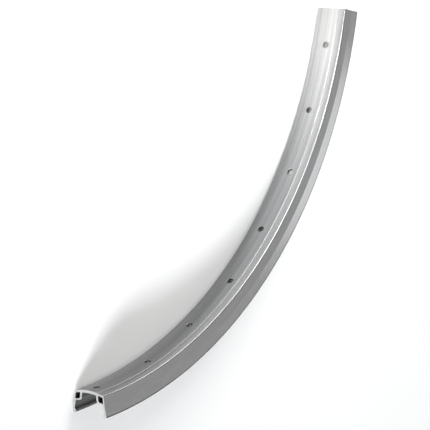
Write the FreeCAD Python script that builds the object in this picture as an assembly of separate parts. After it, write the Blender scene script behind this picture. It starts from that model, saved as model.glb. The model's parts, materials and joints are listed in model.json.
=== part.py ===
import FreeCAD, Part
import math
import os

# A cut length of extruded bicycle rim with two hollow corner chambers and round bead hooks.
# Millimetres and degrees. The wheel's axis is parallel to Z, the rim rests on one bead hook, the
# middle of the length is on +Y and the bed, on the hub side, faces -Y.

# The standard size of the tyre seat, and the clear width between the two hooks.
bead_seat_dia = 622.0
inner_width = 24.0

# Height of the seat over the corner of the bed, and of the hook over the seat.
seat_height = 6.4
hook_height = 9.3

# The hook is a round bead with a hair of flat on its top. Its throat is a short way under the
# bead's middle, and the underside slopes from there back to the wall.
hook_width = 2.8
hook_throat = 0.7
hook_under_slope = 45.0
hook_flat = 0.05

# The bed on the hub side: a shallow crown between two ridges, then a shoulder down to each corner.
bed_width = 25.6
ridge_spacing = 14.0
shoulder_drop = 1.2
crown_slope = 6.0
crown_radius = 45.0

# Walls of the extrusion. The side walls are thinner beside the chambers.
bed_wall = 1.9
shoulder_wall = 1.55
side_wall = 1.2
chamber_wall = 0.95
ledge_wall = 1.05
web_wall = 1.5

# The side walls lean outward, a little more from just over the seat. The seat has a taper.
chamber_lean = 5.5
bend_over_seat = 1.3
seat_taper = 10.0

# Roundings of the section.
corner_round = 1.3
ridge_round = 2.0
bend_round = 4.0
throat_round = 1.2
neck_round = 1.0
seat_inner_round = 0.8
seat_outer_round = 2.2
bed_inner_round = 0.8
chamber_round = 0.6
chamber_bend_round = 1.3

# Spoke holes, drilled by turns to the two sides of the middle plane, right through the bed.
spoke_count = 36
hole_count = 8
hole_dia = 4.8
hole_offset = 1.0
drill_overrun = 5.0

# Length of rim beyond the first and the last hole, as angles round the wheel's axis.
lead_angle = 5.5
tail_angle = 1.75

pitch_angle = 360.0 / spoke_count
arc_angle = lead_angle + pitch_angle * (hole_count - 1) + tail_angle
corner_radius = bead_seat_dia / 2 - seat_height
top_radius = bead_seat_dia / 2 + hook_height


def through(start, end):
    """A line through two points of the section, as a point and a unit direction."""
    run = (end[0] - start[0], end[1] - start[1])
    size = math.hypot(run[0], run[1])
    return start, (run[0] / size, run[1] / size)


def leaning(point, angle):
    """A line through a point that climbs toward the tyre and leans outward by an angle."""
    lean = math.radians(angle)
    return point, (math.sin(lean), math.cos(lean))


def rising(point, angle):
    """A line through a point that runs outward and climbs toward the tyre by an angle."""
    climb = math.radians(angle)
    return point, (math.cos(climb), math.sin(climb))


def shifted(line, distance):
    """The line moved to its left by a distance."""
    (z, r), (dz, dr) = line
    return (z - dr * distance, r + dz * distance), (dz, dr)


def meet(first, second):
    """The point where two lines of the section cross."""
    (az, ar), (adz, adr) = first
    (bz, br), (bdz, bdr) = second
    turn = adz * bdr - adr * bdz
    along = ((bz - az) * bdr - (br - ar) * bdz) / turn
    return az + adz * along, ar + adr * along


def outer_wall_lines():
    """The outer face of one side wall: beside the chamber, and from the bend up to the hook."""
    corner = (bed_width / 2, corner_radius)
    lower = leaning(corner, chamber_lean)
    bend = meet(lower, rising((0, bead_seat_dia / 2 + bend_over_seat), 0))
    radius = hook_width / 2
    centre = (inner_width / 2 + radius, top_radius - radius)
    reach = math.hypot(centre[0] - bend[0], centre[1] - bend[1])
    heading = math.atan2(centre[0] - bend[0], centre[1] - bend[1])
    swing = math.asin(radius / reach)
    upper = leaning(bend, math.degrees(heading + swing))
    return lower, upper, bend


def section_lines():
    """The lines that bound the section on one side of the middle plane."""
    lower, upper, bend = outer_wall_lines()
    corner = (bed_width / 2, corner_radius)
    ridge = (ridge_spacing / 2, corner_radius - shoulder_drop)
    shoulder = through(ridge, corner)
    seat_middle = ((ridge_spacing + bed_width) / 4, bead_seat_dia / 2)
    seat = rising(seat_middle, seat_taper)
    bed = rising(ridge, crown_slope)
    web = leaning((ridge[0], ridge[1] + bed_wall), chamber_lean)
    return {
        "middle": leaning((0, 0), 0),
        "ridge": ridge,
        "corner": corner,
        "bend": bend,
        "bed_under": shifted(bed, bed_wall),
        "bed": bed,
        "shoulder_under": shifted(shoulder, shoulder_wall),
        "lower": lower,
        "upper": upper,
        "lower_inner": shifted(lower, side_wall),
        "upper_inner": shifted(upper, side_wall),
        "chamber_side": shifted(lower, chamber_wall),
        "seat": seat,
        "seat_under": shifted(seat, -ledge_wall),
        "web_inner": shifted(web, web_wall / 2),
        "web_outer": shifted(web, -web_wall / 2),
    }


def outline_corners():
    """Corners of the open section as (z, r, rounding), right round, the far side mirrored."""
    lines = section_lines()
    top = rising((0, top_radius), 0)
    tip = inner_width / 2
    hook_round = (hook_width - hook_flat) / 2
    throat = (tip, top_radius - hook_width / 2 - hook_throat)
    hook_under = rising(throat, -hook_under_slope)
    half = [
        lines["ridge"] + (ridge_round,),
        lines["corner"] + (corner_round,),
        lines["bend"] + (bend_round,),
        meet(lines["upper"], top) + (hook_round,),
        (tip, top_radius, hook_round),
        throat + (throat_round,),
        meet(hook_under, lines["upper_inner"]) + (neck_round,),
        meet(lines["upper_inner"], lines["lower_inner"]) + (bend_round,),
        meet(lines["lower_inner"], lines["seat"]) + (seat_inner_round,),
        meet(lines["seat"], lines["web_inner"]) + (seat_outer_round,),
        meet(lines["web_inner"], lines["bed_under"]) + (bed_inner_round,),
    ]
    crown = meet(lines["bed"], lines["middle"]) + (crown_radius,)
    crown_under = meet(lines["bed_under"], lines["middle"]) + (crown_radius - bed_wall,)
    far_half = [(-z, r, rounding) for z, r, rounding in reversed(half)]
    return [crown] + half + [crown_under] + far_half


def chamber_corners(side):
    """Corners of one hollow chamber as (z, r, rounding)."""
    lines = section_lines()
    corners = [
        meet(lines["shoulder_under"], lines["web_outer"]) + (chamber_round,),
        meet(lines["shoulder_under"], lines["chamber_side"]) + (chamber_round,),
        meet(lines["seat_under"], lines["chamber_side"]) + (chamber_round,),
        meet(lines["seat_under"], lines["web_outer"]) + (chamber_bend_round,),
    ]
    return [(side * z, r, rounding) for z, r, rounding in corners]


def rounded_wire(corners):
    """A closed wire of lines and tangent arcs in the plane X = 0, from (z, r, rounding) corners."""
    ends = []
    for i in range(len(corners)):
        z, r, rounding = corners[i]
        back = through((z, r), corners[i - 1][:2])[1]
        ahead = through((z, r), corners[(i + 1) % len(corners)][:2])[1]
        half_angle = math.acos(back[0] * ahead[0] + back[1] * ahead[1]) / 2
        cut = rounding / math.tan(half_angle)
        bisector = through((0, 0), (back[0] + ahead[0], back[1] + ahead[1]))[1]
        depth = rounding / math.sin(half_angle) - rounding
        ends.append((
            FreeCAD.Vector(0, r + back[1] * cut, z + back[0] * cut),
            FreeCAD.Vector(0, r + bisector[1] * depth, z + bisector[0] * depth),
            FreeCAD.Vector(0, r + ahead[1] * cut, z + ahead[0] * cut),
        ))
    edges = []
    for i in range(len(ends)):
        start, mid, end = ends[i]
        edges.append(Part.Arc(start, mid, end).toShape())
        edges.append(Part.LineSegment(end, ends[(i + 1) % len(ends)][0]).toShape())
    return Part.Wire(edges)


def extruded_length():
    """The section swept round the wheel's axis, with the middle of the length on +Y."""
    wires = [
        rounded_wire(outline_corners()),
        rounded_wire(chamber_corners(1)),
        rounded_wire(chamber_corners(-1)),
    ]
    section = Part.Face(wires, "Part::FaceMakerBullseye")
    axis = FreeCAD.Vector(0, 0, 1)
    section.rotate(FreeCAD.Vector(0, 0, 0), axis, -arc_angle / 2)
    return section.revolve(FreeCAD.Vector(0, 0, 0), axis, arc_angle)


def spoke_hole(number):
    """The drill for one spoke hole, counted from the -X end."""
    angle = math.radians(90 + arc_angle / 2 - lead_angle - pitch_angle * number)
    side = 1 if number % 2 == 0 else -1
    outward = FreeCAD.Vector(math.cos(angle), math.sin(angle), 0)
    lines = section_lines()
    bed_radius = meet(lines["bed"], lines["middle"])[1]
    start = outward * (bed_radius - drill_overrun) + FreeCAD.Vector(0, 0, side * hole_offset)
    return Part.makeCylinder(hole_dia / 2, bed_wall + 2 * drill_overrun, start, outward)


def make_rim():
    """The drilled length of rim, set down on one hook with its box centred on the origin."""
    rim = extruded_length()
    drills = [spoke_hole(number) for number in range(hole_count)]
    rim = rim.cut(drills)
    solid = rim.Solids[0]
    box = solid.optimalBoundingBox(False)
    solid.translate(FreeCAD.Vector(-box.Center.x, -box.Center.y, -box.ZMin))
    return solid


os.makedirs("parts", exist_ok=True)
rim = make_rim()
rim.exportStep("parts/rim.step")
print("volume", round(rim.Volume), "valid", rim.isValid(), "solids", len(rim.Solids))
print(rim.optimalBoundingBox(False))
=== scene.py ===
import json
import math

import bmesh
import bpy
from bpy.props import FloatProperty, FloatVectorProperty, IntProperty, PointerProperty
from bpy.types import Operator, Panel, PropertyGroup
from mathutils import Matrix, Vector
from mathutils.geometry import tessellate_polygon


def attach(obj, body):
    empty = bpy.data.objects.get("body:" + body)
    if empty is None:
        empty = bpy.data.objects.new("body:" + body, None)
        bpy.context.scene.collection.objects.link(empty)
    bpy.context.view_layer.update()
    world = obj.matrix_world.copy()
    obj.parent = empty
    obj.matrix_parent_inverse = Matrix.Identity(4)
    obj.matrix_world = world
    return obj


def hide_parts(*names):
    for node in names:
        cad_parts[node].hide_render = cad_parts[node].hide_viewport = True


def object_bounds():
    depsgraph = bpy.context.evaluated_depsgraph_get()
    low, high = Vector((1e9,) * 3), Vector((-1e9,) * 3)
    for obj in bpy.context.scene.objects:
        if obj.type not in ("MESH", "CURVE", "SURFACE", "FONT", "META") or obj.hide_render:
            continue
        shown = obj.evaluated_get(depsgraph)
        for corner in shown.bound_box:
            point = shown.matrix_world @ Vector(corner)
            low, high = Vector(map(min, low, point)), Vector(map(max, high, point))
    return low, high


bl_info = {
    "name": "Bicycle rim section",
    "version": (1, 0, 0),
    "blender": (4, 5, 0),
    "location": "3D View > Sidebar > Rim",
    "description": "Makes a sawn length of extruded aluminium bicycle rim and the stage that it lies on",
    "category": "Object",
}

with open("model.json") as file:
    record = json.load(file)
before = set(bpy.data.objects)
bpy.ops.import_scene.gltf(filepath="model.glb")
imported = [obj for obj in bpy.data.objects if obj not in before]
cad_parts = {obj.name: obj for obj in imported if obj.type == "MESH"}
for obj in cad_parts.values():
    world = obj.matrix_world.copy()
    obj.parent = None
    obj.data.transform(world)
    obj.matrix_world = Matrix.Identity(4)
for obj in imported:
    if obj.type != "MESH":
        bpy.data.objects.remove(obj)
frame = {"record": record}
cad_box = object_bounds()
mounts = {mount["name"]: mount for mount in frame["record"]["mounts"]}

MM_PER_METRE = 1000
UP = Vector((0, 0, 1))

# The map that runs along the rim and round its girth, in metres. Die lines and tool marks follow it.
GRAIN = "grain"

# Finishes of the rim's faces, in the order of its material slots.
# The drilled walls and the chambers carry painted shade, and the tyre channel carries some.
EXTRUDED, SIDE, SAWN, DRILLED_SHADE, CHANNEL, CHAMBER_SHADE = range(6)

# Corners of the outline, counted from the bed's crown. The negative number is the far side's corner.
BED_CORNER = 3
HOOK_TOP = 5
HOOK_THROAT = 7

# Fewest steps round a corner of the section.
CORNER_STEPS = 2

# Rings of the bed round a hole, as shares of the way from its mouth out to the border of its field.
FIELD_SHARES = (0.62, 0.3, 0.1, 0.0)

# Steps round the edges that the saw and the drill leave, from the drawn surface to the cut one.
EDGE_TILTS = (math.radians(30), math.radians(60), math.radians(90))

# The part of a noise's range that the finishes use.
NOISE_LOW = 0.25
NOISE_HIGH = 0.75

# Heights over the horizon, as sines, where the room's dark walls end and its pale ceiling begins.
WALLS_END = 0.47
CEILING_START = 0.62


class RimSection(PropertyGroup):
    """Sizes of the extruded section."""

    bead_seat: FloatProperty(
        name="Bead seat", description="Diameter of the ledges that the tyre's beads sit on",
        default=0.622, unit="LENGTH")
    inner_width: FloatProperty(
        name="Inner width", description="Clear width between the two hooks", default=0.024, unit="LENGTH")
    seat_height: FloatProperty(
        name="Seat height", description="From the corner of the bed up to the bead seat",
        default=0.0064, unit="LENGTH")
    hook_height: FloatProperty(
        name="Hook height", description="From the bead seat up to the top of the hook",
        default=0.0093, unit="LENGTH")
    hook_width: FloatProperty(
        name="Hook width", description="Thickness of the round bead on top of each side wall",
        default=0.0028, unit="LENGTH")
    hook_throat: FloatProperty(
        name="Hook throat", description="Straight drop from the bead's middle to its underside",
        default=0.0007, unit="LENGTH")
    hook_under_slope: FloatProperty(
        name="Underside slope", description="Slope of the hook's underside back to the wall",
        default=math.radians(45), subtype="ANGLE")
    hook_flat: FloatProperty(
        name="Hook flat", description="Flat left between the bead's two roundings",
        default=0.00005, unit="LENGTH")
    bed_width: FloatProperty(
        name="Bed width", description="Width of the hub side, from corner to corner",
        default=0.0256, unit="LENGTH")
    ridge_spacing: FloatProperty(
        name="Ridge spacing", description="Distance between the two ridges on the hub side",
        default=0.014, unit="LENGTH")
    shoulder_drop: FloatProperty(
        name="Shoulder drop", description="Drop of each shoulder from its ridge to the corner",
        default=0.0012, unit="LENGTH")
    crown_slope: FloatProperty(
        name="Crown slope", description="Slope of the bed where its crown meets the ridge",
        default=math.radians(6), subtype="ANGLE")
    crown_radius: FloatProperty(
        name="Crown radius", description="Radius of the shallow crown across the bed",
        default=0.045, unit="LENGTH")
    bed_wall: FloatProperty(
        name="Bed wall", description="Thickness of the drilled bed", default=0.0019, unit="LENGTH")
    shoulder_wall: FloatProperty(
        name="Shoulder wall", description="Thickness of the shoulders under the chambers",
        default=0.00155, unit="LENGTH")
    side_wall: FloatProperty(
        name="Side wall", description="Thickness of the side walls", default=0.0012, unit="LENGTH")
    chamber_wall: FloatProperty(
        name="Chamber wall", description="Thickness of the side walls beside the chambers",
        default=0.00095, unit="LENGTH")
    ledge_wall: FloatProperty(
        name="Ledge wall", description="Thickness of the bead seats", default=0.00105, unit="LENGTH")
    web_wall: FloatProperty(
        name="Web wall", description="Thickness of the webs beside the well", default=0.0015, unit="LENGTH")
    chamber_lean: FloatProperty(
        name="Chamber lean", description="Lean of the side walls beside the chambers",
        default=math.radians(5.5), subtype="ANGLE")
    bend_over_seat: FloatProperty(
        name="Bend over seat", description="Height of the side wall's bend over the bead seat",
        default=0.0013, unit="LENGTH")
    seat_taper: FloatProperty(
        name="Seat taper", description="Taper of the bead seat", default=math.radians(10), subtype="ANGLE")
    corner_round: FloatProperty(
        name="Corner rounding", description="Outer corner of the bed", default=0.0013, unit="LENGTH")
    ridge_round: FloatProperty(
        name="Ridge rounding", description="Edge of the fine step between the crown and the shoulder",
        default=0.0003, unit="LENGTH")
    step_run: FloatProperty(
        name="Step run", description="Length of the fine step's slope", default=0.00024, unit="LENGTH")
    step_slope: FloatProperty(
        name="Step slope", description="Slope of the fine step's face",
        default=math.radians(50), subtype="ANGLE")
    step_round: FloatProperty(
        name="Step rounding", description="Foot of the fine step on the shoulder",
        default=0.0002, unit="LENGTH")
    bend_round: FloatProperty(
        name="Bend rounding", description="Bend of the side wall", default=0.004, unit="LENGTH")
    throat_round: FloatProperty(
        name="Throat rounding", description="Edge under the hook", default=0.0012, unit="LENGTH")
    neck_round: FloatProperty(
        name="Neck rounding", description="Root of the hook on the wall", default=0.001, unit="LENGTH")
    seat_inner_round: FloatProperty(
        name="Seat root rounding", description="Inside corner of the seat and the wall",
        default=0.0008, unit="LENGTH")
    seat_outer_round: FloatProperty(
        name="Seat edge rounding", description="Edge of the seat over the well",
        default=0.0022, unit="LENGTH")
    bed_inner_round: FloatProperty(
        name="Well rounding", description="Inside corner of the well", default=0.0008, unit="LENGTH")
    chamber_round: FloatProperty(
        name="Chamber rounding", description="Inside corners of the chambers",
        default=0.0006, unit="LENGTH")
    chamber_bend_round: FloatProperty(
        name="Chamber bend rounding", description="Chamber corner under the seat's edge",
        default=0.0013, unit="LENGTH")


class RimCuts(PropertyGroup):
    """Edges left by the saw and the drill, and how finely the rim is drawn."""

    saw_break: FloatProperty(
        name="Saw edge", description="Rounding of the sawn edges", default=0.00007, unit="LENGTH")
    drill_break: FloatProperty(
        name="Hole edge", description="Rounding of the mouths of the spoke holes",
        default=0.00025, unit="LENGTH")
    patch_half: FloatProperty(
        name="Hole field", description="Half the length of bed that is drawn round each hole",
        default=0.0049, unit="LENGTH")
    patch_steps: IntProperty(
        name="Field steps", description="Steps along the field round each hole", default=12, min=4)
    crown_steps: IntProperty(
        name="Crown steps", description="Steps across the crown of the bed", default=16, min=4)
    spacing: FloatProperty(
        name="Spacing", description="Longest step along the rim between the holes",
        default=0.0025, unit="LENGTH")
    turn_step: FloatProperty(
        name="Corner step", description="Largest turn of one step round a corner",
        default=math.radians(11), subtype="ANGLE")


class RimFinish(PropertyGroup):
    """Colours and gloss of the metal."""

    colour: FloatVectorProperty(
        name="Aluminium", description="Colour of the drawn metal",
        default=(0.33, 0.332, 0.336), subtype="COLOR", min=0, max=1)
    bright: FloatVectorProperty(
        name="Fresh cut", description="Colour of the sawn ends",
        default=(0.62, 0.62, 0.62), subtype="COLOR", min=0, max=1)
    # Painted shade: near black, so that the spoke holes read dark under any light.
    drilled: FloatVectorProperty(
        name="Drilled", description="Colour of the drilled holes' walls",
        default=(0.035, 0.035, 0.035), subtype="COLOR", min=0, max=1)
    # Unpolished metal, also somewhat darker than the drawn metal as painted shade, so the holes look dark.
    channel: FloatVectorProperty(
        name="Tyre channel", description="Colour of the unpolished metal under the tyre",
        default=(0.27, 0.27, 0.27), subtype="COLOR", min=0, max=1)
    # Painted shade: much darker than the drawn metal because the chambers are closed hollows.
    chamber: FloatVectorProperty(
        name="Chambers", description="Colour of the metal inside the chambers",
        default=(0.16, 0.16, 0.16), subtype="COLOR", min=0, max=1)
    roughness: FloatProperty(
        name="Roughness", description="Roughness of the drawn metal",
        default=0.24, subtype="FACTOR", min=0, max=1)
    die_contrast: FloatProperty(
        name="Die lines", description="How far the die's lines change the colour",
        default=0.38, subtype="FACTOR", min=0, max=1)
    die_depth: FloatProperty(
        name="Die line depth", description="Depth of the die's lines", default=0.000012, unit="LENGTH")
    saw_depth: FloatProperty(
        name="Saw mark depth", description="Depth of the marks on the sawn ends",
        default=0.00004, unit="LENGTH")


def light_properties(tint, turn, height):
    """What every light has, with its defaults: its colour, and where it comes from as two angles."""
    return {
        "tint": FloatVectorProperty(
            name="Tint", description="Colour of the light", default=tint, subtype="COLOR", min=0, max=1),
        "turn": FloatProperty(
            name="Direction", description="Where the light comes from, from +X to +Y",
            default=math.radians(turn), subtype="ANGLE"),
        "height": FloatProperty(
            name="Height", description="Height of the light over the horizon",
            default=math.radians(height), subtype="ANGLE"),
    }


def far_light(name, strength, spread, **light):
    """A group of properties for a broad far lamp, with that lamp's defaults, angles in degrees."""
    properties = light_properties(**light)
    properties["strength"] = FloatProperty(
        name="Strength", description="Strength of the light", default=strength, min=0)
    properties["spread"] = FloatProperty(
        name="Spread", description="Angle that the light fills",
        default=math.radians(spread), subtype="ANGLE")
    return type(name, (PropertyGroup,), {"__annotations__": properties})


def soft_panel(name, glow, target, distance, width, tall, **light):
    """A group of properties for a soft panel that faces its target, with that panel's defaults."""
    properties = light_properties(**light)
    properties["glow"] = FloatProperty(
        name="Glow", description="Brightness of the panel, where 1 is white", default=glow, min=0)
    properties["target"] = FloatVectorProperty(
        name="Target", description="Place that the panel faces", default=target, subtype="XYZ")
    properties["distance"] = FloatProperty(
        name="Distance", description="From the target to the panel", default=distance, unit="LENGTH")
    properties["width"] = FloatProperty(
        name="Width", description="Level side of the panel", default=width, unit="LENGTH")
    properties["tall"] = FloatProperty(
        name="Upright", description="Upright side of the panel", default=tall, unit="LENGTH")
    return type(name, (PropertyGroup,), {"__annotations__": properties})


SideLight = far_light(
    "SideLight", strength=5.2, spread=20, tint=(0.965, 0.985, 1.0), turn=4, height=17)
BackLight = far_light(
    "BackLight", strength=0.5, spread=25, tint=(0.985, 0.995, 1.0), turn=40, height=30)
EdgePanel = soft_panel(
    "EdgePanel", glow=4.1, target=(0, 0, 0), distance=1.5, width=2.0, tall=0.6,
    tint=(1.0, 0.985, 0.92), turn=-140, height=17)
LinePanel = soft_panel(
    "LinePanel", glow=7.4, target=(-0.079, 0.016, 0.027), distance=0.4, width=0.21, tall=0.21,
    tint=(0.97, 0.985, 1.0), turn=-102, height=36)
WallPanel = soft_panel(
    "WallPanel", glow=1.5, target=(-0.1127, 0.0135, 0.029), distance=0.6, width=0.12, tall=0.12,
    tint=(0.95, 0.975, 1.0), turn=138, height=55)
CeilingPanel = soft_panel(
    "CeilingPanel", glow=0.55, target=(0, 0, 0), distance=2.0, width=1.3, tall=1.3,
    tint=(1.0, 0.99, 0.965), turn=134, height=52)
LIGHTS = (SideLight, BackLight, EdgePanel, LinePanel, WallPanel, CeilingPanel)


class RimStage(PropertyGroup):
    """Floor, light and camera."""

    floor_colour: FloatVectorProperty(
        name="Floor", description="Colour of the floor",
        default=(0.97, 0.97, 0.97), subtype="COLOR", min=0, max=1)
    floor_size: FloatProperty(name="Floor size", description="Side of the floor", default=8.0, unit="LENGTH")
    sky_low: FloatVectorProperty(
        name="Room at the horizon", description="Light of the room at the horizon",
        default=(0.04, 0.04, 0.04), subtype="COLOR", min=0, max=1)
    sky_high: FloatVectorProperty(
        name="Room overhead", description="Light of the room overhead",
        default=(0.25, 0.25, 0.25), subtype="COLOR", min=0, max=1)
    key_power: FloatProperty(
        name="Key light", description="Power of the key light", default=9.5, min=0, unit="POWER")
    key_tint: FloatVectorProperty(
        name="Key tint", description="Colour of the key light",
        default=(1.0, 0.99, 0.93), subtype="COLOR", min=0, max=1)
    key_place: FloatVectorProperty(
        name="Key place", description="Where the key light hangs",
        default=(-0.149, -0.258, 0.266), subtype="XYZ")
    key_aim: FloatVectorProperty(
        name="Key aim", description="Place on the floor that the key light faces",
        default=(-0.154, -0.072, 0.0), subtype="XYZ")
    key_beam: FloatProperty(
        name="Key beam", description="Angle of the key light's beam",
        default=math.radians(20), subtype="ANGLE")
    key_blend: FloatProperty(
        name="Key softness", description="Softness of the beam's edge",
        default=0.35, subtype="FACTOR", min=0, max=1)
    key_radius: FloatProperty(
        name="Key radius", description="Radius of the key light", default=0.05, unit="LENGTH")
    side_light: PointerProperty(
        name="Side light", description="Low far light along the rim", type=SideLight)
    back_light: PointerProperty(
        name="Back light", description="Faint far light from the tyre's side", type=BackLight)
    edge_panel: PointerProperty(
        name="Edge panel", description="Panel that the bed's lower edge mirrors", type=EdgePanel)
    line_panel: PointerProperty(
        name="Line panel", description="Panel that the bed's upper edge mirrors", type=LinePanel)
    wall_panel: PointerProperty(
        name="Wall panel", description="Panel that the side wall mirrors", type=WallPanel)
    ceiling_panel: PointerProperty(
        name="Ceiling panel", description="Pale ceiling behind the wall's panel", type=CeilingPanel)
    lens: FloatProperty(
        name="Lens", description="Focal length in mm on a 36 mm frame", default=150.393, unit="CAMERA")
    aim: FloatVectorProperty(
        name="Aim", description="Point that the camera looks at",
        default=(0.01659, -0.02811, 0.01481), subtype="XYZ")
    view_turn: FloatProperty(
        name="View direction", description="Camera's turn round the rim, from -Y to +X",
        default=math.radians(38.046), subtype="ANGLE")
    view_height: FloatProperty(
        name="View height", description="Camera's height over the horizon",
        default=math.radians(36.156), subtype="ANGLE")
    view_roll: FloatProperty(
        name="View roll", description="Roll of the camera, which stands the lying rim up in the picture",
        default=math.radians(97.219), subtype="ANGLE")
    view_distance: FloatProperty(
        name="View distance", description="From the aim to the camera", default=1.29835, unit="LENGTH")


def through(start, end):
    """A line of the section through two points, as a point and a unit direction in (z, r)."""
    return start, (end - start).normalized()


def leaning(point, angle):
    """A line through a point that climbs toward the tyre and leans outward by an angle."""
    return point, Vector((math.sin(angle), math.cos(angle)))


def rising(point, angle):
    """A line through a point that runs outward and climbs toward the tyre by an angle."""
    return point, Vector((math.cos(angle), math.sin(angle)))


def shifted(line, distance):
    """The line moved to its left by a distance."""
    point, along = line
    return point + Vector((-along.y, along.x)) * distance, along


def meet(first, second):
    """The point where two lines of the section cross."""
    start, along = first
    other, across = second
    return start + along * ((other - start).cross(across) / along.cross(across))


class Corner:
    """A corner of the section: its point, its rounding, and its steps where the turn doesn't decide them."""

    def __init__(self, point, rounding, steps=None):
        self.point = point
        self.rounding = rounding
        self.steps = steps

    def mirrored(self):
        """The same corner on the other side of the middle plane."""
        return Corner(Vector((-self.point.x, self.point.y)), self.rounding, self.steps)


def hook_lean(size, bend):
    """Lean of the side wall from its bend up to the round bead, which it touches."""
    bead = size.hook_width / 2
    centre = Vector((size.inner_width / 2 + bead, size.bead_seat / 2 + size.hook_height - bead))
    reach = centre - bend
    return math.atan2(reach.x, reach.y) + math.asin(bead / reach.length)


class SectionLines:
    """The points and lines that bound the section on one side of the middle plane."""

    def __init__(self, size):
        seat_radius = size.bead_seat / 2
        corner_radius = seat_radius - size.seat_height
        self.top_radius = seat_radius + size.hook_height
        self.corner = Vector((size.bed_width / 2, corner_radius))
        self.ridge = Vector((size.ridge_spacing / 2, corner_radius - size.shoulder_drop))
        self.lower = leaning(self.corner, size.chamber_lean)
        self.bend = meet(self.lower, rising(Vector((0, seat_radius + size.bend_over_seat)), 0))
        self.upper = leaning(self.bend, hook_lean(size, self.bend))
        self.bed = rising(self.ridge, size.crown_slope)
        seat_middle = Vector(((size.ridge_spacing + size.bed_width) / 4, seat_radius))
        self.seat = rising(seat_middle, size.seat_taper)
        self.web = leaning(self.ridge + Vector((0, size.bed_wall)), size.chamber_lean)


def outline_corners(size, crown_steps):
    """Corners of the open section, right round from the bed's crown."""
    lines = SectionLines(size)
    middle = leaning(Vector((0, 0)), 0)
    step_foot = lines.ridge + rising(lines.ridge, size.step_slope)[1] * size.step_run
    lower_inner = shifted(lines.lower, size.side_wall)
    upper_inner = shifted(lines.upper, size.side_wall)
    bed_under = shifted(lines.bed, size.bed_wall)
    web_inner = shifted(lines.web, size.web_wall / 2)
    top = rising(Vector((0, lines.top_radius)), 0)
    tip = Vector((size.inner_width / 2, lines.top_radius))
    hook_round = (size.hook_width - size.hook_flat) / 2
    throat = tip - Vector((0, size.hook_width / 2 + size.hook_throat))
    hook_under = rising(throat, -size.hook_under_slope)
    half = [
        Corner(lines.ridge, size.ridge_round),
        Corner(step_foot, size.step_round),
        Corner(lines.corner, size.corner_round),
        Corner(lines.bend, size.bend_round),
        Corner(meet(lines.upper, top), hook_round),
        Corner(tip, hook_round),
        Corner(throat, size.throat_round),
        Corner(meet(hook_under, upper_inner), size.neck_round),
        Corner(meet(upper_inner, lower_inner), size.bend_round),
        Corner(meet(lower_inner, lines.seat), size.seat_inner_round),
        Corner(meet(lines.seat, web_inner), size.seat_outer_round),
        Corner(meet(web_inner, bed_under), size.bed_inner_round),
    ]
    crown = Corner(meet(lines.bed, middle), size.crown_radius, crown_steps)
    crown_under = Corner(meet(bed_under, middle), size.crown_radius - size.bed_wall, crown_steps)
    return [crown] + half + [crown_under] + [corner.mirrored() for corner in reversed(half)]


def chamber_corners(size, side):
    """Corners of one hollow chamber, in the order that keeps the metal on the left."""
    lines = SectionLines(size)
    chamber_side = shifted(lines.lower, size.chamber_wall)
    shoulder_under = shifted(through(lines.ridge, lines.corner), size.shoulder_wall)
    seat_under = shifted(lines.seat, -size.ledge_wall)
    web_outer = shifted(lines.web, -size.web_wall / 2)
    corners = [
        Corner(meet(shoulder_under, web_outer), size.chamber_round),
        Corner(meet(shoulder_under, chamber_side), size.chamber_round),
        Corner(meet(seat_under, chamber_side), size.chamber_round),
        Corner(meet(seat_under, web_outer), size.chamber_bend_round),
    ]
    if side > 0:
        return corners[::-1]
    return [corner.mirrored() for corner in corners]


def to_the_right(heading):
    """The unit vector to the right of a heading in the section, which points out of the metal."""
    return Vector((math.sin(heading), -math.cos(heading)))


class Loop:
    """A closed run of the section: points, outward normals, places on the girth, each corner's span."""

    def __init__(self, corners, turn_step):
        self.points = []
        self.normals = []
        self.spans = []
        for number, corner in enumerate(corners):
            following = corners[(number + 1) % len(corners)]
            self.add_corner(corners[number - 1].point, corner, following.point, turn_step)
        self.girth = [0.0]
        for number, point in enumerate(self.points):
            step = self.points[(number + 1) % len(self.points)] - point
            self.girth.append(self.girth[-1] + step.length)

    def add_corner(self, previous, corner, following, turn_step):
        """Draw one rounded corner between its neighbours' points."""
        before = (corner.point - previous).normalized()
        after = (following - corner.point).normalized()
        turn = math.atan2(before.cross(after), before.dot(after))
        steps = corner.steps or max(CORNER_STEPS, math.ceil(abs(turn) / turn_step))
        heading = math.atan2(before.y, before.x)
        swing = math.copysign(corner.rounding, turn)
        start = corner.point - before * (corner.rounding * math.tan(abs(turn) / 2))
        centre = start - to_the_right(heading) * swing
        first = len(self.points)
        for step in range(steps + 1):
            normal = to_the_right(heading + turn * step / steps)
            self.points.append(centre + normal * swing)
            self.normals.append(normal)
        self.spans.append((first, first + steps))


def bearings(turn):
    """Unit vectors away from the wheel's axis and along the rim, at one turn from +Y toward +X."""
    return Vector((math.sin(turn), math.cos(turn), 0)), Vector((math.cos(turn), -math.sin(turn), 0))


class Draft:
    """Points, normals and faces of the rim while it is being drawn, and the turns of its sections."""

    def __init__(self, centre, radius, turns):
        self.centre = centre
        self.radius = radius
        self.turns = turns
        self.points = []
        self.normals = []
        self.faces = []
        self.finishes = []
        self.grain = []

    def add(self, place, normal):
        """Add a point with its normal, and give its number."""
        self.points.append(place)
        self.normals.append(normal)
        return len(self.points) - 1

    def add_on_arc(self, turn, point, normal, end_facing=0.0):
        """A point of the section at one turn; end_facing tips its normal along the rim."""
        out, ahead = bearings(turn)
        place = self.centre + out * point.y + UP * point.x
        flat = math.sqrt(1 - end_facing * end_facing)
        return self.add(place, (out * normal.y + UP * normal.x) * flat + ahead * end_facing)

    def face(self, corners, grain, finish):
        """Add a face with a place on the grain map for each corner."""
        self.faces.append(corners)
        self.grain.extend(grain)
        self.finishes.append(finish)

    def band(self, first, second, first_grain, second_grain, finish):
        """Quads between two closed rings with as many points; each ring's grain has one entry more."""
        count = len(first)
        for number in range(count):
            after = (number + 1) % count
            corners = (first[number], first[after], second[after], second[number])
            grain = first_grain[number:number + 2] + second_grain[number:number + 2][::-1]
            self.face(corners, grain, finish)


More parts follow.
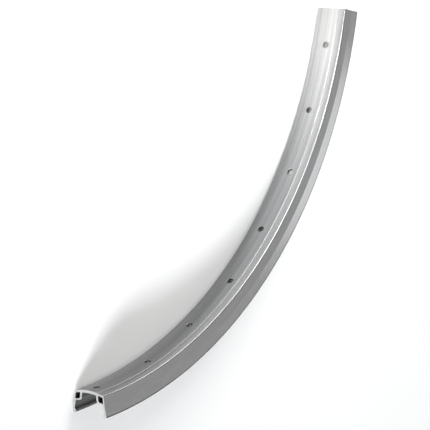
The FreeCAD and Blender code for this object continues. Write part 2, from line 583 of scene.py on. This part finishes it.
class SpokeHole:
    """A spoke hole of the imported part: its turn round the wheel, its side step and its radius."""

    def __init__(self, mount, centre):
        place = Vector(mount["pos_m"]) - centre
        self.turn = math.atan2(place.x, place.y)
        self.offset = place.z
        self.radius = mount["dims"]["r_mm"] / MM_PER_METRE
        self.stations = (0, 0)


def wheel_centre(size):
    """The middle of the whole wheel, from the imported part's bead seat."""
    seat = mounts["bead_seat"]
    return Vector(seat["pos_m"]) - Vector(seat["axis"]) * (size.bead_seat / 2)


def spoke_holes(centre):
    """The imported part's spoke holes, in order along the rim."""
    holes = [SpokeHole(mount, centre) for name, mount in mounts.items() if name.startswith("spoke_hole")]
    return sorted(holes, key=lambda hole: hole.turn)


def lay_stations(holes, half_turn, radius, cuts):
    """Turns of the drawn sections along the rim, with even steps in the field of each hole."""
    field = cuts.patch_half / radius
    marks = [-half_turn]
    for hole in holes:
        marks += [hole.turn - field, hole.turn + field]
    marks.append(half_turn)
    turns = [-half_turn]
    for number, (start, end) in enumerate(zip(marks, marks[1:])):
        steps = cuts.patch_steps
        if number % 2 == 0:
            steps = max(1, math.ceil((end - start) * radius / cuts.spacing))
        else:
            holes[number // 2].stations = (len(turns) - 1, len(turns) - 1 + steps)
        turns += [start + (end - start) * (step + 1) / steps for step in range(steps)]
    return turns


class BedFace:
    """One face of the drilled bed: the crown that faces the hub, or the well's floor under the tyre."""

    def __init__(self, loop, span, radius, toward_tyre):
        first, last = span
        self.finish = CHANNEL if toward_tyre else EXTRUDED
        self.columns = list(range(first, last + 1))
        if toward_tyre:
            self.columns.reverse()
        self.loop = loop
        self.radius = radius
        self.facing = -1 if toward_tyre else 1
        edge = loop.points[self.columns[0]]
        self.middle = edge.y + math.sqrt(radius * radius - edge.x * edge.x)
        self.half_arc = math.asin(abs(edge.x) / radius)
        self.start = loop.girth[self.columns[0]]
        self.run = loop.girth[self.columns[-1]] - self.start

    def at(self, z):
        """Point, outward normal and place on the girth at one distance from the middle plane."""
        lift = math.sqrt(self.radius * self.radius - z * z)
        point = Vector((z, self.middle - lift))
        normal = Vector((z, -lift)) * (self.facing / self.radius)
        share = (1 + math.asin(z / self.radius) / self.half_arc) / 2
        return point, normal, self.start + self.run * share


def hole_fields(holes, faces):
    """The stations and columns that the sweep leaves open round the holes."""
    fields = set()
    for hole in holes:
        for face in faces:
            columns = sorted(face.columns)[:-1]
            for station in range(*hole.stations):
                fields.update((station, column) for column in columns)
    return fields


def sweep(draft, loop, fields, finishes):
    """The surface that a loop leaves along the rim, a finish for each column, open at the fields."""
    count = len(loop.points)
    drawn = {}

    def at(station, column):
        key = (station, column % count)
        if key not in drawn:
            drawn[key] = draft.add_on_arc(draft.turns[station], loop.points[key[1]], loop.normals[key[1]])
        return drawn[key]

    for station in range(len(draft.turns) - 1):
        for column in range(count):
            if (station, column) in fields:
                continue
            near = [(station, column), (station + 1, column)]
            far = [(station + 1, column + 1), (station, column + 1)]
            grain = [(draft.turns[row] * draft.radius, loop.girth[place]) for row, place in near + far]
            draft.face(tuple(at(row, place) for row, place in near + far), grain, finishes[column])
    return at


def field_border(hole, face):
    """Stations and columns round the border of a hole's field, in order."""
    first, last = hole.stations
    low, high = face.columns[0], face.columns[-1]
    border = [(station, low) for station in range(first, last)]
    border += [(last, column) for column in face.columns[:-1]]
    border += [(station, high) for station in range(last, first, -1)]
    border += [(first, column) for column in face.columns[:0:-1]]
    return border


def border_spots(draft, hole, face):
    """Places on the border of a hole's field, along the rim and across it from the hole's middle."""
    spots = []
    for station, column in field_border(hole, face):
        point = face.loop.points[column]
        along = point.y * math.sin(draft.turns[station] - hole.turn)
        spots.append(Vector((along, point.x - hole.offset)))
    return spots


def draw_field(draft, hole, face, at, angles, edge):
    """The bed round one mouth of a hole, from the border of its field in to the ring that it gives."""
    border = field_border(hole, face)
    spots = border_spots(draft, hole, face)
    ring = [at(station, column) for station, column in border]
    grain = [(draft.turns[station] * draft.radius, face.loop.girth[column]) for station, column in border]
    for share in FIELD_SHARES:
        inner = []
        inner_grain = []
        for spot, angle in zip(spots, angles):
            mouth = Vector((math.cos(angle), math.sin(angle))) * (hole.radius + edge)
            where = mouth.lerp(spot, share)
            point, normal, girth = face.at(where.y + hole.offset)
            turn = hole.turn + math.asin(where.x / point.y)
            inner.append(draft.add_on_arc(turn, point, normal))
            inner_grain.append((turn * draft.radius, girth))
        draft.band(ring, inner, grain + grain[:1], inner_grain + inner_grain[:1], face.finish)
        ring = inner
        grain = inner_grain
    return ring


def draw_mouth(draft, hole, face, angles, ring, edge):
    """The rings of one mouth's rounded edge, from its ring on the bed to the hole's wall."""
    out, ahead = bearings(hole.turn)
    rings = [ring]
    for tilt in EDGE_TILTS:
        reach = hole.radius + edge * (1 - math.sin(tilt))
        sink = face.facing * edge * (1 - math.cos(tilt))
        lip = []
        for angle in angles:
            along = reach * math.cos(angle)
            across = reach * math.sin(angle) + hole.offset
            point, normal = face.at(across)[:2]
            depth = math.sqrt(point.y * point.y - along * along) + sink
            place = draft.centre + out * depth + ahead * along + UP * across
            flat = out * normal.y + UP * normal.x
            spoke = ahead * math.cos(angle) + UP * math.sin(angle)
            lip.append(draft.add(place, (flat * math.cos(tilt) - spoke * math.sin(tilt)).normalized()))
        rings.append(lip)
    return rings


def drill(draft, hole, faces, at, edge):
    """One spoke hole: the bed round its two mouths, their rounded edges and the wall between them."""
    angles = [math.atan2(spot.y, spot.x) for spot in border_spots(draft, hole, faces[0])]
    mouths = []
    for face in faces:
        ring = draw_field(draft, hole, face, at, angles, edge)
        mouths.append(draw_mouth(draft, hole, face, angles, ring, edge))
    around = [number / len(angles) * math.tau * hole.radius for number in range(len(angles) + 1)]
    rings = mouths[0] + mouths[1][::-1]
    wall = len(EDGE_TILTS)
    for depth, (first, second) in enumerate(zip(rings, rings[1:])):
        near = [(place, depth * edge) for place in around]
        far = [(place, (depth + 1) * edge) for place in around]
        # The hole's wall between the two rounded mouths gets the painted shade of the drilled finish.
        draft.band(first, second, near, far, DRILLED_SHADE if depth == wall else EXTRUDED)


def saw_end(draft, loops, rows, half_turn, end, edge):
    """The broken edges and the flat face of one sawn end; end is -1 or 1 along the rim."""
    station = 0 if end < 0 else len(draft.turns) - 1
    corners = []
    outlines = []
    for loop, at in zip(loops, rows):
        previous = [at(station, column) for column in range(len(loop.points))]
        for tilt in EDGE_TILTS:
            turn = end * (half_turn - edge * (1 - math.sin(tilt)) / draft.radius)
            ring = []
            for point, normal in zip(loop.points, loop.normals):
                inset = point - normal * (edge * (1 - math.cos(tilt)))
                ring.append(draft.add_on_arc(turn, inset, normal, end * math.sin(tilt)))
            grain = [(girth, tilt * edge) for girth in loop.girth]
            draft.band(previous, ring, grain, grain, SAWN)
            previous = ring
        corners += previous
        outlines.append([point - normal * edge for point, normal in zip(loop.points, loop.normals)])
    spots = [spot for outline in outlines for spot in outline]
    for triangle in tessellate_polygon([[spot.to_3d() for spot in outline] for outline in outlines]):
        draft.face(
            tuple(corners[number] for number in triangle),
            [(spots[number].x, spots[number].y) for number in triangle],
            SAWN)


def outline_finishes(outline):
    """The finish of each column of the outline: drawn metal, the side walls and the tyre channel."""
    spans = outline.spans
    runs = (
        (spans[HOOK_THROAT][0], spans[-HOOK_THROAT][1], CHANNEL),
        (spans[BED_CORNER][1], spans[HOOK_TOP][0], SIDE),
        (spans[-HOOK_TOP][1], spans[-BED_CORNER][0], SIDE),
    )
    finishes = [EXTRUDED] * len(outline.points)
    for start, end, finish in runs:
        finishes[start:end] = [finish] * (end - start)
    return finishes


def draw_rim(size, cuts):
    """The swept section with its two chambers, the drilled holes and the sawn ends."""
    centre = wheel_centre(size)
    holes = spoke_holes(centre)
    seat_radius = size.bead_seat / 2
    half_turn = math.asin(cad_box[1].x / (seat_radius + size.hook_height))
    turns = lay_stations(holes, half_turn - cuts.saw_break / seat_radius, seat_radius, cuts)
    outline = Loop(outline_corners(size, cuts.crown_steps), cuts.turn_step)
    chambers = [Loop(chamber_corners(size, side), cuts.turn_step) for side in (1, -1)]
    well = len(outline.spans) // 2
    faces = [
        BedFace(outline, outline.spans[0], size.crown_radius, toward_tyre=False),
        BedFace(outline, outline.spans[well], size.crown_radius - size.bed_wall, toward_tyre=True),
    ]
    draft = Draft(centre, seat_radius, turns)
    rows = [sweep(draft, outline, hole_fields(holes, faces), outline_finishes(outline))]
    for chamber in chambers:
        rows.append(sweep(draft, chamber, (), [CHAMBER_SHADE] * len(chamber.points)))
    for hole in holes:
        drill(draft, hole, faces, rows[0], cuts.drill_break)
    for end in (-1, 1):
        saw_end(draft, [outline] + chambers, rows, half_turn, end, cuts.saw_break)
    return draft


def finished_mesh(name, draft, finishes):
    """The draft as a smooth mesh with its own normals, finishes and grain map."""
    mesh = bpy.data.meshes.new(name)
    mesh.from_pydata(draft.points, [], draft.faces)
    for finish in finishes:
        mesh.materials.append(finish)
    mesh.polygons.foreach_set("material_index", draft.finishes)
    grain = mesh.uv_layers.new(name=GRAIN)
    grain.data.foreach_set("uv", [value for mark in draft.grain for value in mark])
    work = bmesh.new()
    work.from_mesh(mesh)
    bmesh.ops.recalc_face_normals(work, faces=work.faces)
    open_edges = sum(1 for edge in work.edges if not edge.is_manifold)
    work.to_mesh(mesh)
    work.free()
    if open_edges:
        raise RuntimeError(f"the rim has {open_edges} open edges")
    mesh.shade_smooth()
    mesh.normals_split_custom_set_from_vertices(draft.normals)
    return mesh


def feed(tree, socket, value):
    """Give a socket its value, or link it to the socket that the value comes from."""
    if isinstance(value, bpy.types.NodeSocket):
        tree.links.new(value, socket)
    else:
        socket.default_value = value


def add_node(tree, kind, settings=None, **inputs):
    """A node with its settings and inputs. Underscores in an input's name stand for spaces."""
    node = tree.nodes.new(kind)
    for key, value in (settings or {}).items():
        setattr(node, key, value)
    for key, value in inputs.items():
        feed(tree, node.inputs[key.replace("_", " ")], value)
    return node


def new_metal(name):
    """A metal material with its shader, ready for its nodes."""
    material = bpy.data.materials.new(name)
    material.use_nodes = True
    tree = material.node_tree
    shader = tree.nodes["Principled BSDF"]
    shader.inputs["Metallic"].default_value = 1.0
    return material, tree, shader


def stretched_noise(tree, along, across, detail):
    """Noise on the grain map, with so many features per metre along and across the grain."""
    grain = add_node(tree, "ShaderNodeUVMap", {"uv_map": GRAIN})
    scaled = add_node(tree, "ShaderNodeMapping", Vector=grain.outputs["UV"], Scale=(along, across, 1))
    noise = add_node(
        tree, "ShaderNodeTexNoise", {"noise_dimensions": "2D"},
        Vector=scaled.outputs["Vector"], Scale=1.0, Detail=detail, Roughness=0.6)
    return noise.outputs["Fac"]


def blended(tree, factor, first, second):
    """Two colours mixed by a factor. A mix node has one set of sockets for each kind of data."""
    mix = add_node(tree, "ShaderNodeMix", {"data_type": "RGBA"})
    factor_socket, first_colour, second_colour = mix.inputs[0], mix.inputs[6], mix.inputs[7]
    feed(tree, factor_socket, factor)
    feed(tree, first_colour, first)
    feed(tree, second_colour, second)
    mixed_colour = mix.outputs[2]
    return mixed_colour


def ranged(tree, noise, low, high):
    """The noise carried over to a range of values."""
    node = add_node(
        tree, "ShaderNodeMapRange",
        Value=noise, From_Min=NOISE_LOW, From_Max=NOISE_HIGH, To_Min=low, To_Max=high)
    return node.outputs["Result"]


def summed(tree, first, second):
    """The sum of two values."""
    node = add_node(tree, "ShaderNodeMath", {"operation": "ADD"})
    for socket, value in zip(node.inputs, (first, second)):
        feed(tree, socket, value)
    return node.outputs["Value"]


def opaque(colour):
    """A colour with its alpha."""
    return tuple(colour) + (1.0,)


def shaded(colour, share):
    """A colour times a share, with its alpha."""
    return opaque(min(1.0, part * share) for part in colour)


def streaked(tree, noise, colour, dark, light):
    """A colour that runs with the noise from a dark share of itself to a light one."""
    return blended(tree, ranged(tree, noise, 0.0, 1.0), shaded(colour, dark), shaded(colour, light))


def coat(tree, shader, colour, roughness):
    """Give the shader its colour and its roughness."""
    feed(tree, shader.inputs["Base Color"], colour)
    feed(tree, shader.inputs["Roughness"], roughness)


def emboss(tree, shader, height, strength, depth):
    """Give the shader a fine relief."""
    relief = add_node(tree, "ShaderNodeBump", Strength=strength, Distance=depth, Height=height)
    feed(tree, shader.inputs["Normal"], relief.outputs["Normal"])


def extruded_finish(look):
    """Drawn aluminium: die lines in colour, gloss and relief, and faint cloudy handling marks."""
    material, tree, shader = new_metal("Extruded_aluminium")
    fine = stretched_noise(tree, along=5.0, across=2400.0, detail=3.0)
    broad = stretched_noise(tree, along=2.0, across=380.0, detail=2.0)
    place = add_node(tree, "ShaderNodeTexCoord").outputs["Object"]
    clouds = add_node(tree, "ShaderNodeTexNoise", Vector=place, Scale=42.0, Detail=4.0, Roughness=0.55)
    dark = 1 - look.die_contrast
    light = 1 + look.die_contrast / 2
    lines = streaked(tree, fine, look.colour, dark, light)
    bands = streaked(tree, broad, look.colour, dark, light)
    line_change = 0.05
    cloud_change = 0.03
    streaks = ranged(tree, fine, look.roughness - line_change, look.roughness + line_change)
    cloudy = ranged(tree, clouds.outputs["Fac"], -cloud_change, cloud_change)
    colour = blended(tree, factor=0.5, first=lines, second=bands)
    coat(tree, shader, colour, summed(tree, streaks, cloudy))
    emboss(tree, shader, fine, strength=0.5, depth=look.die_depth)
    return material


def side_finish(look):
    """The outside of the side walls: smoother metal with faint lines and cloudy handling marks."""
    material, tree, shader = new_metal("Side_wall_aluminium")
    lines = stretched_noise(tree, along=6.0, across=900.0, detail=2.0)
    clouds = stretched_noise(tree, along=60.0, across=220.0, detail=3.0)
    faint = look.die_contrast / 4
    drawn = streaked(tree, lines, look.colour, 1 - faint, 1 + faint / 2)
    handled = streaked(tree, clouds, look.colour, 1 - faint, 1 + faint)
    most_polish = 0.07
    least_polish = 0.03
    gloss = ranged(tree, clouds, look.roughness - most_polish, look.roughness - least_polish)
    colour = blended(tree, factor=0.5, first=drawn, second=handled)
    coat(tree, shader, colour, gloss)
    emboss(tree, shader, lines, strength=0.2, depth=look.die_depth)
    return material


def sawn_finish(look):
    """The sawn face: bare bright metal with parallel marks left by the blade's teeth."""
    material, tree, shader = new_metal("Sawn_aluminium")
    teeth = stretched_noise(tree, along=90.0, across=2600.0, detail=2.0)
    shifts = stretched_noise(tree, along=30.0, across=500.0, detail=2.0)
    colour = streaked(tree, shifts, look.bright, dark=0.84, light=1.06)
    coat(tree, shader, colour, ranged(tree, teeth, low=0.34, high=0.52))
    emboss(tree, shader, teeth, strength=0.6, depth=look.saw_depth)
    return material


def drilled_shade_finish(look):
    """The walls of the drilled holes: painted shade, a near-black dull colour that keeps the holes dark,
    with rings left by the drill.
    """
    material, tree, shader = new_metal("Drilled_wall_painted_shade")
    # Painted shade: no metal and little gloss, so the walls stay dark whatever the light.
    shader.inputs["Metallic"].default_value = 0.0
    shader.inputs["Specular IOR Level"].default_value = 0.2
    rings = stretched_noise(tree, along=60.0, across=5000.0, detail=2.0)
    colour = streaked(tree, rings, look.drilled, dark=0.9, light=1.08)
    coat(tree, shader, colour, ranged(tree, rings, low=0.5, high=0.65))
    return material


def inner_finish(name, darkened_metal):
    """The inside of the extrusion: unpolished grey metal as it left the die, with rough streaks, in a colour
    darkened as painted shade of the hollows.
    """
    material, tree, shader = new_metal(name)
    streaks = stretched_noise(tree, along=12.0, across=1500.0, detail=3.0)
    colour = streaked(tree, streaks, darkened_metal, dark=0.75, light=1.2)
    coat(tree, shader, colour, ranged(tree, streaks, low=0.55, high=0.7))
    return material


class RIM_OT_make_rim(Operator):
    """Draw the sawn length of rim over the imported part"""

    bl_idname = "rim.make_rim"
    bl_label = "Make the rim"

    def execute(self, context):
        look = context.scene.rim_finish
        draft = draw_rim(context.scene.rim_section, context.scene.rim_cuts)
        finishes = [
            extruded_finish(look),
            side_finish(look),
            sawn_finish(look),
            drilled_shade_finish(look),
            # Partly painted shade: the tyre channel is unpolished and somewhat darker than the drawn metal.
            inner_finish("Channel_aluminium_partly_shaded", look.channel),
            # Painted shade: the closed chambers are much darker than the drawn metal.
            inner_finish("Chamber_aluminium_painted_shade", look.chamber),
        ]
        rim = bpy.data.objects.new("Rim", finished_mesh("Rim", draft, finishes))
        context.scene.collection.objects.link(rim)
        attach(rim, "root")
        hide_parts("rim")
        return {"FINISHED"}


def lay_floor(stage):
    """A plain pale floor."""
    half = stage.floor_size / 2
    corners = [(-half, -half, 0), (half, -half, 0), (half, half, 0), (-half, half, 0)]
    mesh = bpy.data.meshes.new("Floor")
    mesh.from_pydata(corners, [], [(0, 1, 2, 3)])
    material = bpy.data.materials.new("Pale_floor")
    material.use_nodes = True
    shader = material.node_tree.nodes["Principled BSDF"]
    shader.inputs["Base Color"].default_value = opaque(stage.floor_colour)
    shader.inputs["Roughness"].default_value = 1.0
    shader.inputs["Specular IOR Level"].default_value = 0.0
    mesh.materials.append(material)
    floor = bpy.data.objects.new("Floor", mesh)
    bpy.context.scene.collection.objects.link(floor)


def light_room(stage):
    """The even light of a pale ceiling, over darker walls."""
    world = bpy.data.worlds.new("Room")
    world.use_nodes = True
    tree = world.node_tree
    place = add_node(tree, "ShaderNodeTexCoord").outputs["Generated"]
    height = add_node(tree, "ShaderNodeSeparateXYZ", Vector=place).outputs["Z"]
    share = add_node(
        tree, "ShaderNodeMapRange", {"interpolation_type": "SMOOTHSTEP"},
        Value=height, From_Min=WALLS_END, From_Max=CEILING_START, To_Min=0.0, To_Max=1.0)
    colour = blended(tree, share.outputs["Result"], opaque(stage.sky_low), opaque(stage.sky_high))
    feed(tree, tree.nodes["Background"].inputs["Color"], colour)
    bpy.context.scene.world = world


def toward(light):
    """Unit vector toward a light, from its turn and its height."""
    level = math.cos(light.height)
    return Vector((math.cos(light.turn) * level, math.sin(light.turn) * level, math.sin(light.height)))


def hang(data, place, target):
    """A lamp at a place, facing a target."""
    lamp = bpy.data.objects.new(data.name, data)
    bpy.context.scene.collection.objects.link(lamp)
    lamp.location = place
    lamp.rotation_euler = (target - place).to_track_quat("-Z", "Y").to_euler()
    return lamp


def hang_panel(name, light):
    """A soft panel that glows as brightly as a white surface times its glow, and faces its target."""
    data = bpy.data.lights.new(name, "AREA")
    data.shape = "RECTANGLE"
    data.size = light.width
    data.size_y = light.tall
    data.energy = light.glow * math.pi * light.width * light.tall
    data.color = light.tint
    target = Vector(light.target)
    panel = hang(data, target + toward(light) * light.distance, target)
    panel.visible_camera = False


def shine(name, light):
    """A broad far lamp that comes from one direction."""
    data = bpy.data.lights.new(name, "SUN")
    data.energy = light.strength
    data.color = light.tint
    data.angle = light.spread
    hang(data, toward(light), Vector((0, 0, 0)))


def hang_key(stage):
    """A close spotlight on the hub side, over the floor that the top of the bed mirrors."""
    data = bpy.data.lights.new("Key", "SPOT")
    data.energy = stage.key_power
    data.color = stage.key_tint
    data.spot_size = stage.key_beam
    data.spot_blend = stage.key_blend
    data.shadow_soft_size = stage.key_radius
    hang(data, Vector(stage.key_place), Vector(stage.key_aim))


def hang_lamps(stage):
    """A key light on the hub side, two far lights, and panels for the bed and the side wall to mirror."""
    hang_key(stage)
    shine("Side", stage.side_light)
    shine("Back", stage.back_light)
    hang_panel("Edge_panel", stage.edge_panel)
    hang_panel("Line_panel", stage.line_panel)
    hang_panel("Wall_panel", stage.wall_panel)
    hang_panel("Ceiling_panel", stage.ceiling_panel)


def set_camera(stage):
    """The camera at the photograph's viewing angle, rolled so that the lying rim stands up."""
    data = bpy.data.cameras.new("Camera")
    data.lens = stage.lens
    camera = bpy.data.objects.new("Camera", data)
    turn = stage.view_turn
    height = stage.view_height
    back = Vector((math.sin(turn) * math.cos(height), -math.cos(turn) * math.cos(height), math.sin(height)))
    level = back.to_track_quat("Z", "Y").to_matrix().to_4x4()
    roll = Matrix.Rotation(stage.view_roll, 4, "Z")
    camera.matrix_world = Matrix.Translation(Vector(stage.aim) + back * stage.view_distance) @ level @ roll
    bpy.context.scene.collection.objects.link(camera)
    bpy.context.scene.camera = camera


class RIM_OT_set_stage(Operator):
    """Set up the floor, the light and the camera"""

    bl_idname = "rim.set_stage"
    bl_label = "Set the stage"

    def execute(self, context):
        stage = context.scene.rim_stage
        lay_floor(stage)
        light_room(stage)
        hang_lamps(stage)
        set_camera(stage)
        context.scene.view_settings.view_transform = "Standard"
        return {"FINISHED"}


GROUPS = {
    "rim_section": RimSection,
    "rim_cuts": RimCuts,
    "rim_finish": RimFinish,
    "rim_stage": RimStage,
}


def list_properties(layout, group):
    """List a group's properties in a box, with a box inside it for each group that it holds."""
    box = layout.box()
    for key in type(group).__annotations__:
        value = getattr(group, key)
        if isinstance(value, PropertyGroup):
            list_properties(box, value)
        else:
            box.prop(group, key)


class RIM_PT_sidebar(Panel):
    """Sizes, finish and stage of the rim"""

    bl_idname = "RIM_PT_sidebar"
    bl_label = "Bicycle rim section"
    bl_space_type = "VIEW_3D"
    bl_region_type = "UI"
    bl_category = "Rim"

    def draw(self, context):
        for name in GROUPS:
            list_properties(self.layout, getattr(context.scene, name))
        self.layout.operator(RIM_OT_make_rim.bl_idname)
        self.layout.operator(RIM_OT_set_stage.bl_idname)


CLASSES = LIGHTS + tuple(GROUPS.values()) + (RIM_OT_make_rim, RIM_OT_set_stage, RIM_PT_sidebar)


def register():
    """Register the classes and give the scene its groups of properties."""
    for entry in CLASSES:
        bpy.utils.register_class(entry)
    for name, group in GROUPS.items():
        setattr(bpy.types.Scene, name, PointerProperty(type=group))


def unregister():
    """Take the groups and the classes away again."""
    for name in GROUPS:
        delattr(bpy.types.Scene, name)
    for entry in reversed(CLASSES):
        bpy.utils.unregister_class(entry)


def main():
    register()
    bpy.ops.rim.make_rim()
    bpy.ops.rim.set_stage()


if __name__ == "__main__":
    main()
